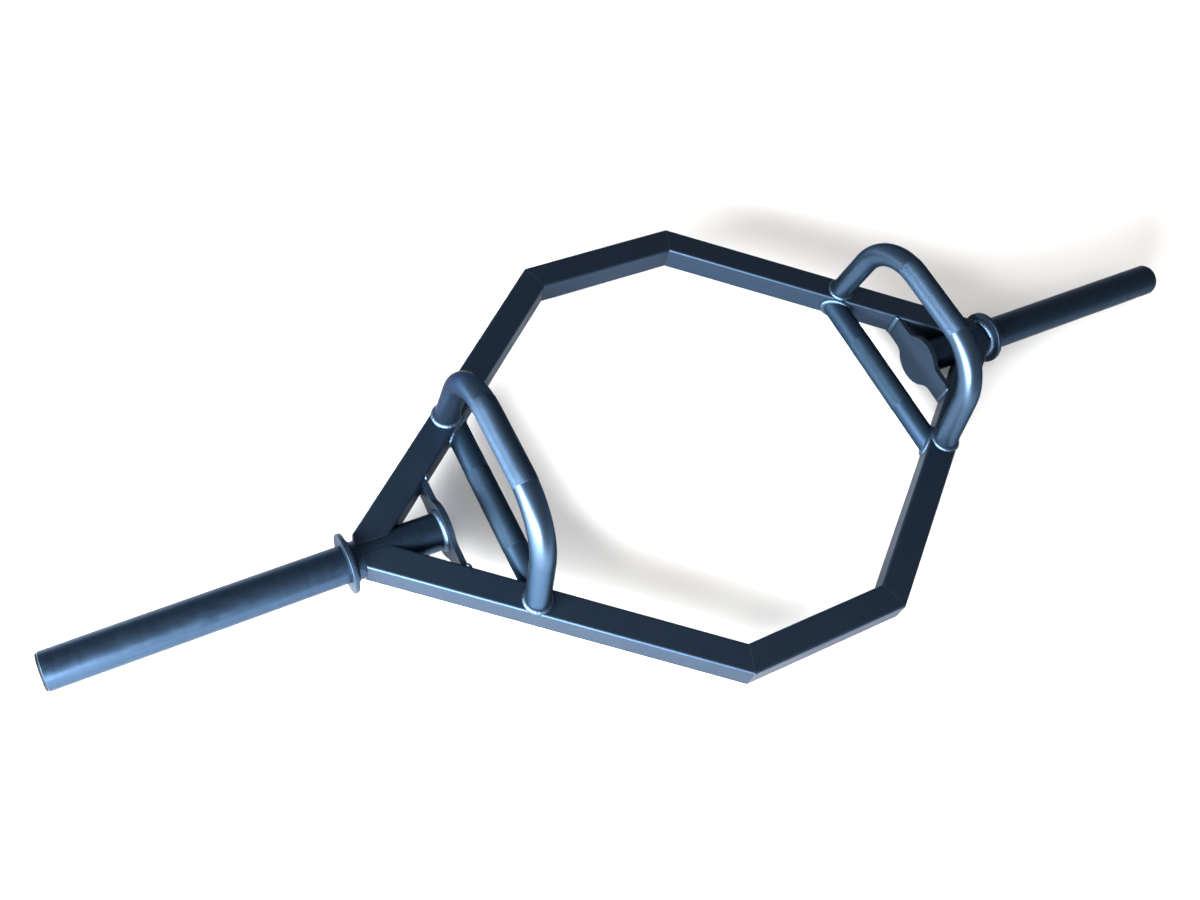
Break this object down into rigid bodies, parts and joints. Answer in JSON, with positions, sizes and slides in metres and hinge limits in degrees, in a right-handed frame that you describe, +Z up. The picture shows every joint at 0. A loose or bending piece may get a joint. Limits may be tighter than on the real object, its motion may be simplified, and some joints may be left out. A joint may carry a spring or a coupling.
{
  "type": "hex trap bar",
  "caption": "Hexagonal lifting bar of welded square tube with round loading sleeves, plate stops, and lower and raised knurled handles on both sides.",
  "frame": {"origin": "midway between the sleeves and between front and back, on the floor under the collars", "axes": "+X along the sleeves to the right, +Y to the back, +Z up"},
  "size_m": [1.8, 0.688, 0.2377],
  "materials": {
    "frame_paint": "semi-gloss blue-black powder coat",
    "sleeve_paint": "satin blue-black coat over turned pipe",
    "handle_paint": "satin grey-blue coat, knurled grips",
    "weld_paint": "semi-gloss coat over rippled beads",
    "cap_plastic": "fine moulded grain"
  },
  "bodies": {
    "root": {"front_tube": "frame_paint", "back_tube": "frame_paint", "front_left_tube": "frame_paint", "back_left_tube": "frame_paint", "left_gusset_plate": "frame_paint", "left_sleeve_pipe": "sleeve_paint", "left_collar": "sleeve_paint", "left_end_cap": "cap_plastic", "left_lower_handle": "handle_paint", "left_raised_handle": "handle_paint", "left_collar_weld": "weld_paint", "left_gusset_welds": "weld_paint", "left_lower_handle_welds": "weld_paint", "left_raised_handle_welds": "weld_paint", "front_right_tube": "frame_paint", "back_right_tube": "frame_paint", "right_gusset_plate": "frame_paint", "right_sleeve_pipe": "sleeve_paint", "right_collar": "sleeve_paint", "right_end_cap": "cap_plastic", "right_lower_handle": "handle_paint", "right_raised_handle": "handle_paint", "right_collar_weld": "weld_paint", "right_gusset_welds": "weld_paint", "right_lower_handle_welds": "weld_paint", "right_raised_handle_welds": "weld_paint"}
  },
  "joints": []
}
